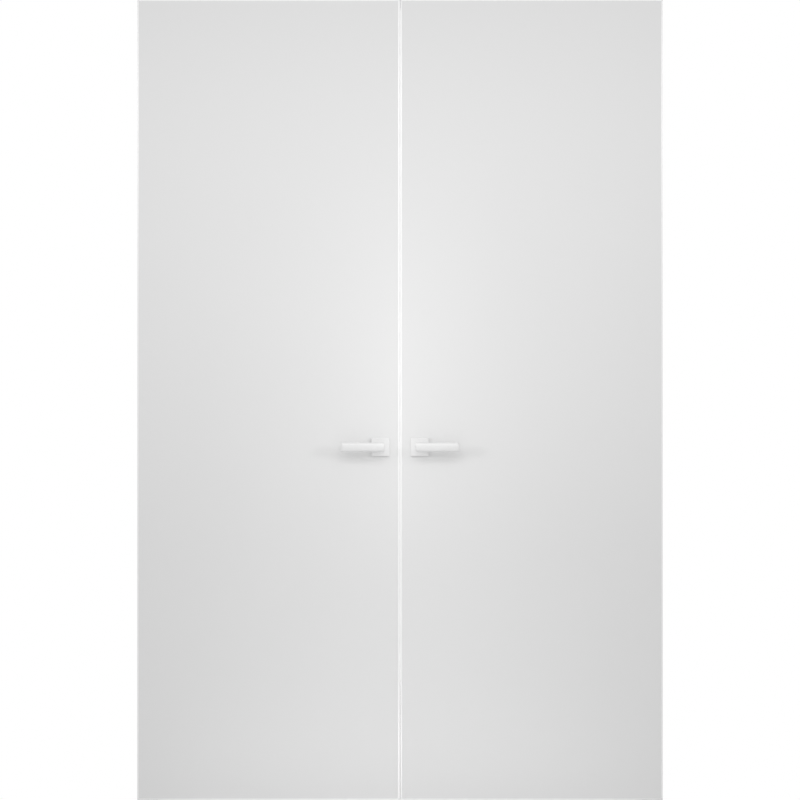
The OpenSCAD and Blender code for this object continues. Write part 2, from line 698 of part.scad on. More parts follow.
// Blocks inside the ends of the jambs that take the frame screws
module corner_cleats() color(steel) difference() {
    on_both() for (z = [sill_t, head_z0 - cleat_h])
        block([jamb_x0 + jamb_wall + seat_fit, jamb_y0 + jamb_wall + seat_fit, z],
            [leaf_x1 - jamb_wall - seat_fit, frame_y1 - jamb_wall - seat_fit, z + cleat_h]);
    frame_screw_set(seat_fit);
}

// Hollow bar under the head that the seal behind the leaf tops is fixed to
module head_stop_bar() color(frame_white) difference() {
    block([-jamb_x0, jamb_y0, head_z0 - stop_bar], [jamb_x0, stop_bar_y1, head_z0]);
    block([-jamb_x0 - 1, jamb_y0 + jamb_wall, head_z0 - stop_bar + jamb_wall],
        [jamb_x0 + 1, stop_bar_y1 - jamb_wall, head_z0 - jamb_wall]);
    frame_screw_set(seat_fit);
}

// Bored rubber strips on the jambs and the stop bar that the closed leaves rest on
seal_mid_y = (seal_y0 + jamb_y0) / 2;
head_seal_z1 = leaf_z1 - 7;
module stop_seals() color(rubber_grey) {
    on_both() difference() {
        block([seal_x0, seal_y0, sill_t], [seal_x1, jamb_y0, head_z0]);
        rod_z_way((seal_x0 + seal_x1) / 2, seal_mid_y, sill_t - 1, head_z0 + 1, seal_bore_d / 2);
    }
    difference() {
        block([-seal_x0, seal_y0, head_seal_z1 - seal_w], [seal_x0, jamb_y0, head_seal_z1]);
        rod_x_way(-seal_x0 - 1, seal_x0 + 1, seal_mid_y, head_seal_z1 - seal_w / 2, seal_bore_d / 2);
    }
}

// Floor plate with the collar that carries a leaf and the pin it turns on
module floor_pivots() color(steel) on_both() difference() {
    union() {
        block([pivot_x - pivot_box_l, -pivot_box_y, sill_t - floor_plate_t],
            [pivot_x + pivot_box_out, pivot_box_y, sill_t]);
        rod_z_way(pivot_x, 0, sill_t - 1, leaf_z0 - pass_gap, collar_r);
        rod_z_way(pivot_x, 0, sill_t - 1, leaf_z0 + pin_grip, floor_pin_r);
    }
    for (x = plate_screw_xs)
        translate([x, 0, sill_t]) screw(sill_t - 0.4, 1.6, 3.2, 1.6, seat_fit);
}

// Flanged bush in the head that a leaf's upper pin turns in
module head_pivot_bushes() color(nylon) on_both() difference() {
    union() {
        rod_z_way(pivot_x, 0, head_z0 - head_gap / 2, head_z0, bush_r + 3);
        rod_z_way(pivot_x, 0, head_z0 - 1, head_z0 + pin_grip + 2, bush_r);
    }
    rod_z_way(pivot_x, 0, head_z0 - head_gap, head_z0 + pin_grip + 3, head_pin_r + run_fit);
}

// Sleeves in the head and sill that the flush bolts enter
module bolt_strikes() color(steel) on_left() {
    difference() {
        rod_z_way(rod_x, 0, head_z0, head_z0 + head_wall + 12, strike_r);
        rod_z_way(rod_x, 0, head_z0 - 1, head_z0 + head_wall + 13, rod_r + pass_gap);
    }
    difference() {
        rod_z_way(rod_x, 0, 0, sill_t, strike_r);
        rod_z_way(rod_x, 0, -1, sill_t + 1, rod_r + pass_gap);
    }
}

// Pieces of the left leaf, which the upright bolts hold shut
module front_skin_left() on_left() leaf_skin();
module back_skin_left() on_left() at_back() leaf_skin();
module pivot_stile_left() on_left() pivot_stile();
module meeting_stile_left() on_left() meeting_stile() passive_rooms();
module rails_left() on_left() rails();
module core_left() on_left() core();
module pivot_edge_left() on_left() pivot_edge();
module meeting_edge_left() on_left() meeting_edge() passive_rooms();
module end_edges_left() on_left() end_edges() passive_rooms();
module lower_pivot_box_left() on_left() lower_pivot_box();
module upper_pivot_box_left() on_left() upper_pivot_box();
module front_rose_left() on_left() rose();
module back_rose_left() on_left() at_back() rose();
module rose_springs_left() on_left() rose_springs();
module leaf_screws_left() color(steel) on_left() {
    rose_bolts();
    pivot_box_screws();
    for (z = strike_screw_zs) edge_screw(z);
    body_screws();
    at_foot() body_screws();
}
module front_lever_left() on_left() lever();
module back_lever_left() on_left() at_back() lever();
module spindle_left() on_left() spindle();
module passive_rooms() {
    seal_groove();
    at_back() seal_groove();
    strike_room();
    flush_bolt_room();
    at_foot() flush_bolt_room();
}

// Pieces of the right leaf, which carries the lock
module front_skin_right() leaf_skin();
module back_skin_right() at_back() leaf_skin();
module pivot_stile_right() pivot_stile();
module meeting_stile_right() meeting_stile() lock_room();
module rails_right() rails();
module core_right() core();
module pivot_edge_right() pivot_edge();
module meeting_edge_right() meeting_edge() lock_room();
module end_edges_right() end_edges();
module lower_pivot_box_right() lower_pivot_box();
module upper_pivot_box_right() upper_pivot_box();
module front_rose_right() rose();
module back_rose_right() at_back() rose();
module rose_springs_right() rose_springs();
module leaf_screws_right() color(steel) {
    rose_bolts();
    pivot_box_screws();
    for (z = lock_screw_zs) edge_screw(z);
}
module front_lever_right() lever();
module back_lever_right() at_back() lever();
module spindle_right() spindle();

// Pieces of the frame that come in pairs, and its screws
module jamb_left() on_left() jamb();
module jamb_right() jamb();
module frame_screws() color(steel) frame_screw_set();

head_jamb();
jamb_left();
jamb_right();
sill_plate();
corner_cleats();
frame_screws();
head_stop_bar();
stop_seals();
floor_pivots();
head_pivot_bushes();
bolt_strikes();
front_skin_left();
back_skin_left();
pivot_stile_left();
meeting_stile_left();
rails_left();
core_left();
pivot_edge_left();
meeting_edge_left();
end_edges_left();
lower_pivot_box_left();
upper_pivot_box_left();
front_rose_left();
back_rose_left();
rose_springs_left();
leaf_screws_left();
front_lever_left();
back_lever_left();
spindle_left();
strike_plate();
strike_box();
strike_magnet();
flush_bolt_bodies();
upper_flush_bolt();
lower_flush_bolt();
meeting_seals();
front_skin_right();
back_skin_right();
pivot_stile_right();
meeting_stile_right();
rails_right();
core_right();
pivot_edge_right();
meeting_edge_right();
end_edges_right();
lower_pivot_box_right();
upper_pivot_box_right();
front_rose_right();
back_rose_right();
rose_springs_right();
leaf_screws_right();
front_lever_right();
back_lever_right();
spindle_right();
lock_case();
lock_cover();
lock_faceplate();
lock_follower();
magnet_bolt();
bolt_spring();
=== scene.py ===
# %% [markdown]
# # A pair of flush interior doors
#
# Two smooth lacquered leaves close one opening and meet in the middle. A slim aluminium edging runs
# round each leaf, and each leaf carries a straight lever on a small square rose. The sizes, the
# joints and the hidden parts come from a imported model, which this file loads and never moves. What
# is made here is what the eye meets: softened edges, turned necks, brushed and lacquered surfaces,
# and the light of the studio.

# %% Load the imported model
import json
import math

import bmesh
import bpy
import numpy as np
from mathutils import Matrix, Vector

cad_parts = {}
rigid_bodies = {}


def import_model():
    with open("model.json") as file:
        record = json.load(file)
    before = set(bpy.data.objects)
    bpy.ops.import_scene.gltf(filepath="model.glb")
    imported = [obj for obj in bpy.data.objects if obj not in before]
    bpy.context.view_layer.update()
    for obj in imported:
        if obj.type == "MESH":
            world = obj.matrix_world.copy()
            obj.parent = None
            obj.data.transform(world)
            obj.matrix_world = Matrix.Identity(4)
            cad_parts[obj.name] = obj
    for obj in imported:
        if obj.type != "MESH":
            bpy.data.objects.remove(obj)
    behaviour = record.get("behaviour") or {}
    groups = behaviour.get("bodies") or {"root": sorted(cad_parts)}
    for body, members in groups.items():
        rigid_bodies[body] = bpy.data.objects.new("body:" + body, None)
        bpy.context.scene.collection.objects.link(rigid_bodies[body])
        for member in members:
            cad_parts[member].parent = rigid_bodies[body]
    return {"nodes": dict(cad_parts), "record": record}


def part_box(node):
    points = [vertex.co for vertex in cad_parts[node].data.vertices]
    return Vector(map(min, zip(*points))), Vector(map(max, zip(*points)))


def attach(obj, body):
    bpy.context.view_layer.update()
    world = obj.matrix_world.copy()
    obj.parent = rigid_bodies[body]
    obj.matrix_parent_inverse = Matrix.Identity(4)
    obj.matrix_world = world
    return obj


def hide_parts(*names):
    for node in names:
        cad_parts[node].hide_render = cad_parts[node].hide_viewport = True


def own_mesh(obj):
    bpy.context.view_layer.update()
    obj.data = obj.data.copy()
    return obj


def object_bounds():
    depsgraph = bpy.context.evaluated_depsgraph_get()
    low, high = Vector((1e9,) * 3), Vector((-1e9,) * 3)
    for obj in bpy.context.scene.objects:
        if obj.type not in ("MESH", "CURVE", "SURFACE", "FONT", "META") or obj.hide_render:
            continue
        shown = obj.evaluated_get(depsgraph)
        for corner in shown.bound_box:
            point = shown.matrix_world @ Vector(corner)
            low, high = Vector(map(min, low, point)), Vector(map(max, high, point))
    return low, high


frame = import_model()
cad_low, cad_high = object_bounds()
nodes = frame["nodes"]
bodies = frame["record"]["behaviour"]["bodies"]
body_of = {node: body for body, group in bodies.items() for node in group}
slot_of = {part["node"]: part["material_slot"] for part in frame["record"]["subparts"]}
MM = 0.001

# %% [markdown]
# ## A short way to write shader patterns
#
# A finish is a small network of nodes, and most of it is arithmetic: a noise times a strength, plus
# a base value. Written node by node that hides the idea. The class below wraps one output socket, so
# that `0.4 + 0.1 * cloud` adds the Math nodes by itself and the pattern reads as the formula it is.
# Colours don't go through it, because a Math node turns a colour grey: they have a Mix node.

# %% One socket that can be added, subtracted and multiplied
class Wire:
    """One output of a node. Arithmetic on it adds Math nodes to the same finish."""

    def __init__(self, finish, socket):
        self.finish = finish
        self.socket = socket

    def math(self, operation, *others):
        """A Math node of that operation on this value and, where it takes more, on the others."""
        values = dict(enumerate((self, *others)))
        return self.finish.node("ShaderNodeMath", {"operation": operation}, values)

    def other(self, output):
        """Another output of the same node, by name."""
        return Wire(self.finish, self.socket.node.outputs[output])

    def span(self, low, high, to_low=0.0, to_high=1.0):
        """The value carried from low..high to to_low..to_high, held at both ends."""
        ends = {"From Min": low, "From Max": high, "To Min": to_low, "To Max": to_high}
        return self.finish.node("ShaderNodeMapRange", {"clamp": True}, {"Value": self, **ends})

    def __add__(self, other):
        return self.math("ADD", other)

    def __sub__(self, other):
        return self.math("SUBTRACT", other)

    def __mul__(self, other):
        return self.math("MULTIPLY", other)

    def __rsub__(self, other):
        return self * -1 + other

    __radd__ = __add__
    __rmul__ = __mul__


print("a wire takes +, - and *, with a number on either side")


# %% A finish: one material and the ways to feed it
class Finish:
    """A material in the making, with its shader and one method that adds any node."""

    def __init__(self, name, constants):
        self.material = bpy.data.materials.new(name)
        self.material.use_nodes = True
        self.tree = self.material.node_tree
        self.shader = self.tree.nodes["Principled BSDF"]
        for socket, value in constants.items():
            self.shader.inputs[socket].default_value = value
        self.place = self.node("ShaderNodeTexCoord", output="Object")

    def feed(self, socket, value):
        """Links a socket to a wire, or sets it to a plain value."""
        if isinstance(value, Wire):
            self.tree.links.new(value.socket, socket)
        else:
            socket.default_value = value

    def node(self, kind, settings=None, inputs=None, output=0):
        """A node of the given type: its settings first, then its sockets; gives one output."""
        made = self.tree.nodes.new(kind)
        for name, value in (settings or {}).items():
            setattr(made, name, value)
        for name, value in (inputs or {}).items():
            self.feed(made.inputs[name], value)
        return Wire(self, made.outputs[output])

    def paint(self, **values):
        """Feeds the shader: base_color= stands for Base Color, and so on."""
        for name, value in values.items():
            self.feed(self.shader.inputs[name.replace("_", " ").title()], value)

    def scaled(self, size, stretch):
        """The place divided by size metres, and by stretch along x, y and z."""
        scale = [1 / (size * s) for s in stretch]
        return self.node("ShaderNodeMapping", None, {"Vector": self.place, "Scale": scale})

    def noise(self, size, stretch=(1, 1, 1), detail=2.0):
        """Smooth noise whose blobs are about size metres wide, times stretch along x, y and z."""
        steps = {"Vector": self.scaled(size, stretch), "Scale": 1.0, "Detail": detail}
        return self.node("ShaderNodeTexNoise", None, steps)

    def cells(self, size, stretch=(1, 1, 1), feature="F1"):
        """Voronoi cells about size metres wide: gives the distance, and .other('Color') a tint."""
        steps = {"Vector": self.scaled(size, stretch), "Scale": 1.0}
        return self.node("ShaderNodeTexVoronoi", {"feature": feature}, steps)

    def mix(self, share, first, second):
        """Colour from first at share 0 to second at share 1."""
        colours = {"Factor": share, 6: first, 7: second}
        return self.node("ShaderNodeMix", {"data_type": "RGBA"}, colours, output=2)

    def relief(self, height, depth, strength):
        """Surface relief: height 0..1 stands for depth metres; feeds the shader's normal."""
        self.paint(normal=self.node("ShaderNodeBump", None, {
            "Height": height, "Distance": depth, "Strength": strength}))


def grey(level, warmth=0.0):
    """A neutral colour of that linear level, a little redder for a positive warmth."""
    return (level * (1 + warmth), level, level * (1 - warmth), 1.0)


print("a pattern is written as a formula from here on")

# %% [markdown]
# ## Lacquer on the face sheets
#
# The two faces of each leaf are thin fibreboard sheets, sprayed and rubbed to a satin white. Sprayed
# lacquer is never quite flat: it keeps a soft ripple of two or three millimetres, the orange peel,
# and its gloss drifts a little from place to place. Ripple and drift are all there is to see, so both
# stay faint. A bump node carries the ripple, because at a few hundredths of a millimetre it bends
# the reflections and never the outline.

# %% Satin lacquer
FACE_WHITE = 0.74
FACE_DRIFT = 0.005
DRIFT_SIZE = 450 * MM
PEEL_SIZE = 2.4 * MM
PEEL_DEPTH = 0.02 * MM
DUST_SIZE = 0.5 * MM


def satin_lacquer(name, along):
    """White with a drift of half a percent, roughness 0.40 to 0.48, and the spray's ripple."""
    finish = Finish(name, {"IOR": 1.5, "Specular IOR Level": 0.5})
    drift = finish.noise(DRIFT_SIZE, detail=2).span(0.3, 0.7)
    peel = finish.noise(PEEL_SIZE, detail=1)
    dust = finish.noise(DUST_SIZE, detail=0).span(0.72, 0.8)
    duller, lighter = grey(FACE_WHITE * (1 - FACE_DRIFT)), grey(FACE_WHITE * (1 + FACE_DRIFT))
    finish.paint(
        base_color=finish.mix(drift, duller, lighter),
        roughness=0.40 + 0.06 * drift + 0.02 * peel)
    finish.relief(peel + 0.2 * dust, PEEL_DEPTH, 0.35)
    return finish.material


print("face white", FACE_WHITE)

# %% [markdown]
# ## Brushed and anodised metal
#
# The edging, the frame and the lock plates are metals that were drawn or brushed in one direction.
# The marks are a noise squeezed to a hair's width across the length and pulled out along it. The
# same noise drives gloss, tone and a very shallow relief, because on the real metal one scratch
# causes all three. A piece's length decides which axis is the long one, so the function takes it.
# Every finish has the same two arguments, its name and that axis, also where it has no direction.

# %% Metals with a direction
HAIR, HAIR_LENGTH = 0.35 * MM, 45 * MM
BAND, BAND_LENGTH = 4 * MM, 300 * MM
TOUCH = 60 * MM
LIGHTEST = 0.98


def long_way(along, across_size, length):
    """Stretch of a noise that is across_size wide and length long on the given axis."""
    return [length / across_size if axis == along else 1.0 for axis in "XYZ"]


def brushed_metal(name, along, tone, rough, streak, depth, metallic=1.0):
    """Metal of the given linear tone. Its marks are seven parts of hairlines and three of bands.

    Roughness is rough, plus streak times the marks, plus a little where hands have touched it. The
    hairlines are depth metres deep.
    """
    finish = Finish(name, {"Metallic": metallic})
    hair = finish.noise(HAIR, long_way(along, HAIR, HAIR_LENGTH), detail=2)
    band = finish.noise(BAND, long_way(along, BAND, BAND_LENGTH), detail=1)
    touch = finish.noise(TOUCH, detail=3).span(0.45, 0.7)
    marks = (0.7 * hair + 0.3 * band).span(0.3, 0.7)
    finish.paint(
        base_color=finish.mix(marks, grey(tone * 0.975), grey(min(tone * 1.02, LIGHTEST))),
        roughness=rough + streak * marks + 0.03 * touch)
    finish.relief(hair, depth, 0.4)
    return finish.material


def edging_metal(name, along):
    """Matt silver anodising: the oxide skin scatters most of the light, so little stays a mirror."""
    return brushed_metal(
        name, along, tone=0.87, rough=0.30, streak=0.08, depth=0.006 * MM, metallic=0.2)


def profile_metal(name, along):
    """The frame's aluminium: a little darker and duller, with the marks of its die."""
    return brushed_metal(name, along, tone=0.80, rough=0.34, streak=0.10, depth=0.008 * MM)


def satin_steel(name, along):
    """Stainless steel, brushed: darker, glossier and more strongly marked."""
    return brushed_metal(name, along, tone=0.62, rough=0.22, streak=0.14, depth=0.010 * MM)


print("three brushed metals, hairlines", HAIR / MM, "mm wide")

# %% [markdown]
# ## Plated metals
#
# Steel parts get their skin in a bath, and that skin has a look of its own. Zinc grows in crystals,
# and Voronoi cells stand for them, each with its own tint and gloss. Nickel on the magnet comes out
# nearly as a mirror, so it is only its fine upright scratches that catch the light.

# %% Zinc and nickel
CRYSTAL = 2.0 * MM
STAIN = 9 * MM
SCRATCH = 0.3 * MM
SCRATCH_STRETCH = (1, 1, 12)


def zinc_plate(name, along):
    """Bright zinc: a bluish grey whose crystals, two millimetres wide, each take the light alone."""
    finish = Finish(name, {"Metallic": 1.0})
    crystal = finish.cells(CRYSTAL)
    tint = finish.node("ShaderNodeSeparateColor", None, {"Color": crystal.other("Color")})
    stain = finish.noise(STAIN, detail=4).span(0.35, 0.7)
    finish.paint(
        base_color=finish.mix(tint, grey(0.56, -0.02), grey(0.70, -0.04)),
        roughness=0.26 + 0.10 * tint + 0.12 * stain)
    finish.relief(crystal, 0.02 * MM, 0.5)
    return finish.material


def plated_magnet(name, along):
    """Nickel on a sintered block: nearly a mirror, duller along fine upright scratches."""
    finish = Finish(name, {"Metallic": 1.0})
    scratch = finish.noise(SCRATCH, SCRATCH_STRETCH, detail=2).span(0.55, 0.65)
    finish.paint(
        base_color=finish.mix(scratch, grey(0.60, 0.03), grey(0.48, 0.03)),
        roughness=0.14 + 0.25 * scratch)
    finish.relief(scratch, 0.005 * MM, 0.5)
    return finish.material


print("two plated metals, crystals", CRYSTAL / MM, "mm wide")

# %% [markdown]
# ## Powder coat on the handles
#
# The handles are cast metal under a white powder coat: harder and glossier than the faces, with a
# finer, rounder ripple. The levers get a greyer white than the roses. That is painted shade, standing
# in for the shade on their rounded fronts. A lever lies along X, and a rose is as high as it is wide
# and counts as Z, so the direction tells them apart.

# %% Powder coat
# X, the levers, holds a darker white than Z, the roses: painted shade on the levers.
COAT_WHITE_AND_LEVER_SHADE = {"X": 0.765, "Z": 0.92}
BEAD = 0.7 * MM
BEAD_DEPTH = 0.012 * MM
COAT_DRIFT = 22 * MM


def powder_coat(name, along):
    """Bright white, roughness near 0.3, with the coat's fine beads."""
    # A lever's lower white is painted shade for its rounded front; a rose keeps the coat's own white.
    white = COAT_WHITE_AND_LEVER_SHADE[along]
    finish = Finish(name, {"IOR": 1.5, "Coat Roughness": 0.18})
    beads = finish.noise(BEAD, detail=1)
    drift = finish.noise(COAT_DRIFT, detail=2).span(0.35, 0.65)
    finish.paint(
        base_color=finish.mix(drift, grey(white * 0.99), grey(white * 1.01)),
        roughness=0.30 + 0.05 * drift + 0.04 * beads,
        coat_weight=0.35 + 0.05 * drift)
    finish.relief(beads, BEAD_DEPTH, 0.3)
    return finish.material


print("lever white", COAT_WHITE_AND_LEVER_SHADE["X"], "rose white", COAT_WHITE_AND_LEVER_SHADE["Z"])

# %% [markdown]
# ## Wood and board inside the leaf
#
# Only the bores show what a leaf is made of, yet each material gets its own grain. A tree's rings are
# circles round its pith, so a board cut from it shows a wave of the distance from a far-off line.
# Noise that is long on the grain makes the rings wander. The core is pressed from flat chips, and
# Voronoi cells are just that: patches with a tint each and a seam between them.

# %% Softwood
RING = 3.2 * MM
PITH_ASIDE, PITH_BEHIND = 310 * MM, 60 * MM
WANDER, WANDER_SIZE, WANDER_LENGTH = 9 * MM, 30 * MM, 500 * MM
PORE, PORE_LENGTH = 0.3 * MM, 9 * MM
EARLY_WOOD = (0.62, 0.43, 0.24, 1)
LATE_WOOD = (0.45, 0.27, 0.12, 1)
PORE_BROWN = (0.25, 0.14, 0.06, 1)


def timber(name, along):
    """Rings are a sine of the distance from the pith; pores are thin dark dashes along the grain."""
    finish = Finish(name, {"Specular IOR Level": 0.3})
    axes = finish.node("ShaderNodeSeparateXYZ", None, {"Vector": finish.place})
    side = axes.other("Z" if along == "X" else "X") - PITH_ASIDE
    deep = axes.other("Y") + PITH_BEHIND
    wander = finish.noise(WANDER_SIZE, long_way(along, WANDER_SIZE, WANDER_LENGTH), detail=3)
    square = side * side + deep * deep
    turns = (square.math("SQRT") + WANDER * wander) * (2 * math.pi / RING)
    ring = turns.math("SINE").span(-1.0, 1.0)
    pore = finish.noise(PORE, long_way(along, PORE, PORE_LENGTH), detail=2).span(0.55, 0.7)
    wood = finish.mix(ring, EARLY_WOOD, LATE_WOOD)
    finish.paint(
        base_color=finish.mix(0.5 * pore, wood, PORE_BROWN),
        roughness=0.62 + 0.12 * ring)
    finish.relief(ring + pore, 0.08 * MM, 0.5)
    return finish.material


print("rings every", RING / MM, "mm")

# %% Chipboard
CHIP = 3.5 * MM
CHIP_STRETCH = (1.6, 0.5, 1.0)
DARK_CHIP = (0.50, 0.36, 0.20, 1)
LIGHT_CHIP = (0.66, 0.50, 0.31, 1)
GLUE = (0.22, 0.13, 0.06, 1)


def chipboard(name, along):
    """Pressed chips: flat Voronoi cells, each with its own tint, dark glue in the seams."""
    finish = Finish(name, {"Specular IOR Level": 0.2})
    chip = finish.cells(CHIP, CHIP_STRETCH)
    tint = finish.node("ShaderNodeSeparateColor", None, {"Color": chip.other("Color")})
    seam = finish.cells(CHIP, CHIP_STRETCH, feature="DISTANCE_TO_EDGE").span(0.0, 0.12)
    board = finish.mix(tint, DARK_CHIP, LIGHT_CHIP)
    finish.paint(base_color=finish.mix(seam, GLUE, board), roughness=0.75 + 0.1 * tint)
    finish.relief(seam, 0.25 * MM, 0.7)
    return finish.material


print("chips", CHIP / MM, "mm wide")

# %% [markdown]
# ## Nylon and rubber
#
# Both take their look from the mould: matt, with a fine even grain, and a little dusty. So they share
# one function, and each gives its own lightness, grain and gloss.

# %% Moulded pieces
DUST_PATCH = 35 * MM


def moulded(name, level, grain, rough, warmth=0.0):
    """Moulded plastic or rubber: a fine grain from the tool, and dust that dulls it in patches."""
    finish = Finish(name, {"IOR": 1.5, "Specular IOR Level": 0.4})
    pebble = finish.noise(grain, detail=2)
    dust = finish.noise(DUST_PATCH, detail=4).span(0.4, 0.75)
    finish.paint(
        base_color=finish.mix(dust, grey(level, warmth), grey(level * 1.12 + 0.01, warmth)),
        roughness=rough + 0.12 * dust + 0.05 * pebble)
    finish.relief(pebble, 0.05 * MM, 0.35)
    return finish.material


def nylon(name, along):
    """The bushes: a warm off-white with a soft gloss."""
    return moulded(name, level=0.62, grain=0.4 * MM, rough=0.42, warmth=0.02)


def seal_rubber(name, along):
    """The stop seals: a dull middle grey."""
    return moulded(name, level=0.42, grain=0.25 * MM, rough=0.68)


def seal_white(name, along):
    """The meeting seals: white, to vanish between the leaves."""
    return moulded(name, level=0.86, grain=0.25 * MM, rough=0.55)


print("three moulded finishes")

# %% [markdown]
# ## One finish for each slot
#
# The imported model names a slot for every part, such as edging or zinc_steel. The dictionary below
# says which function makes the slot's finish. A finish is made when its first part asks for it, and
# parts with the same slot and the same grain share it.

# %% Slots and their makers
MAKERS = {
    "face_lacquer": satin_lacquer, "edging": edging_metal, "frame_profile": profile_metal,
    "timber": timber, "core_board": chipboard, "handle_lacquer": powder_coat,
    "nylon": nylon, "seal_rubber": seal_rubber, "seal_white": seal_white,
    "magnet": plated_magnet, "satin_steel": satin_steel, "zinc_steel": zinc_plate}
finishes = {}


def finish_for(slot, along):
    """The finish of a slot with its grain along X or Z, made once and then shared."""
    name = f"{slot}_{along.lower()}"
    if name not in finishes:
        finishes[name] = MAKERS[slot](name, along)
    return finishes[name]


print("slots", len(MAKERS))

# %% [markdown]
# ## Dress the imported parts
#
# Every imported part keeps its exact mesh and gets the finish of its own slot. The long side of a part
# says which way its grain runs, which is how a joiner lays wood and how a profile leaves the press.
# A node that holds an upper and a lower bar has a high box though its bars lie flat, so such nodes
# are listed.

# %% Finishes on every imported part
LYING = ("end_edges", "rails", "head", "sill")


def grain_of(node):
    """X for a lying bar and for a part that is longer than it is high, otherwise Z."""
    low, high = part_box(node)
    size = high - low
    return "X" if node.startswith(LYING) or size.x > size.z else "Z"


for node, part in nodes.items():
    for place in part.material_slots:
        place.material = finish_for(slot_of[node], grain_of(node))
print("finishes made:", len(finishes))

# %% [markdown]
# ## Softened edges
#
# No real edge is perfectly sharp: an extruded profile has a small radius from its die, and lacquered
# board has a broken arris. That thin rounded line catches the light and tells the eye how a thing is
# made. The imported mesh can't be changed, so each part with such edges gets a copy: its triangles are
# merged, flat ones dissolved, and a Bevel modifier rounds only what is sharper than 40 degrees, so
# that round bores keep their smooth walls. A Weighted Normal modifier then lets the largest face at
# each corner decide the shading, which its highest weight of 100 does. A leaning normal would draw
# long streaks over a flat panel.

# %% A copy with rounded arrises
WELD = 0.001 * MM
FLAT = math.radians(0.5)
SHARP = math.radians(40)
ARRIS_RINGS = 2


def settle(piece, replaced):
    """Puts a finished piece into the scene and on its body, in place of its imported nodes."""
    bpy.context.scene.collection.objects.link(piece)
    body = body_of[replaced[0]]
    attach(piece, body)
    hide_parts(*replaced)
    return piece


def soft_edged(node, radius):
    """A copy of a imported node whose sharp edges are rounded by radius."""
    mesh = nodes[node].data.copy()
    work = bmesh.new()
    work.from_mesh(mesh)
    bmesh.ops.remove_doubles(work, verts=work.verts, dist=WELD)
    bmesh.ops.dissolve_limit(work, angle_limit=FLAT, verts=work.verts, edges=work.edges)
    work.to_mesh(mesh)
    work.free()
    mesh.shade_smooth()
    piece = bpy.data.objects.new(node + "_soft", mesh)
    piece.material_slots[0].material = finish_for(slot_of[node], grain_of(node))
    bevel = piece.modifiers.new("arris", "BEVEL")
    bevel.width = radius
    bevel.segments = ARRIS_RINGS
    bevel.limit_method = "ANGLE"
    bevel.angle_limit = SHARP
    level = piece.modifiers.new("flat faces", "WEIGHTED_NORMAL")
    level.mode = "FACE_AREA"
    level.weight = 100
    settle(piece, [node])


print("arrises are rounded in", ARRIS_RINGS, "rings")

# %% Which parts, and how round
ARRIS = {
    0.35 * MM: ["front_skin_left", "front_skin_right", "back_skin_left", "back_skin_right",
        "strike_plate", "lock_faceplate", "flush_bolt_bodies", "floor_pivots", "bolt_strikes"],
    0.5 * MM: ["pivot_edge_left", "pivot_edge_right", "meeting_edge_left", "meeting_edge_right",
        "end_edges_left", "end_edges_right", "lower_pivot_box_left", "lower_pivot_box_right",
        "upper_pivot_box_left", "upper_pivot_box_right", "magnet_bolt", "head_pivot_bushes",
        "upper_flush_bolt", "lower_flush_bolt", "meeting_seals"],
    0.8 * MM: ["head_jamb", "jamb_left", "jamb_right", "sill_plate", "head_stop_bar"]}
for radius, group in ARRIS.items():
    for node in group:
        soft_edged(node, radius)
print("softened", sum(len(group) for group in ARRIS.values()), "parts")

# %% [markdown]
# ## Surfaces from formulas
#
# The handles are made from scratch, because their shape is a set of smooth sections. Each is a grid
# of points: rows along the piece, columns round it. numpy works out all points at once, and two
# index sums tie them into four-sided faces. A row of faces also joins the last column to the first,
# so there is no open seam, and a single point closes each end. The sections themselves come from a
# superellipse, a curve whose power takes it from an oval towards a rectangle.

# %% From a grid of points to a closed mesh
def shell(rows, ring=False):
    """Points and faces of a closed surface from rows[m, n, 3], with poles or joined as a ring."""
    m, n = rows.shape[:2]
    points = rows.reshape(-1, 3)
    i, j = np.meshgrid(np.arange(m if ring else m - 1), np.arange(n), indexing="ij")
    below, above, beside = i * n, (i + 1) % m * n, (j + 1) % n
    quads = np.stack([below + j, below + beside, above + beside, above + j], axis=-1).reshape(-1, 4)
    if ring:
        return points, quads, np.empty((0, 3), int)
    points = np.vstack([points, rows[0].mean(axis=0), rows[-1].mean(axis=0)])
    k = np.arange(n)
    first = np.stack([(k + 1) % n, k, np.full(n, m * n)], axis=-1)
    last = np.stack([(m - 1) * n + k, (m - 1) * n + (k + 1) % n, np.full(n, m * n + 1)], axis=-1)
    return points, quads, np.vstack([first, last])


def outward(points, quads, tris):
    """The same surface with its faces turned outwards: the sum of all wedge volumes is positive."""
    a, b, c, d = (points[quads[:, k]] for k in range(4))
    volume = np.sum(a * np.cross(b, c)) + np.sum(a * np.cross(c, d))
    if len(tris):
        p, q, r = (points[tris[:, k]] for k in range(3))
        volume += np.sum(p * np.cross(q, r))
    if volume < 0:
        quads, tris = quads[:, ::-1], tris[:, ::-1]
    return points, quads, tris


def piece_from(shells, name, replaced, sharp=35.0):
    """One object from several closed surfaces, smooth except where faces meet above sharp degrees."""
    points, faces, start = [], [], 0
    for one in shells:
        own, quads, tris = outward(*one)
        points.append(own)
        faces += (quads + start).tolist() + (tris + start).tolist()
        start += len(own)
    mesh = bpy.data.meshes.new(name)
    mesh.from_pydata(np.vstack(points), [], faces)
    mesh.materials.append(finish_for(slot_of[replaced[0]], grain_of(replaced[0])))
    mesh.shade_smooth()
    mesh.set_sharp_from_angle(angle=math.radians(sharp))
    return settle(bpy.data.objects.new(name, mesh), replaced)


print("shell() ties a grid, outward() turns it, piece_from() makes the object")

# %% A round that can become square
def round_of(columns):
    """Angles of evenly spread columns, once round and without the first one again."""
    return np.linspace(0, 2 * np.pi, columns, endpoint=False)


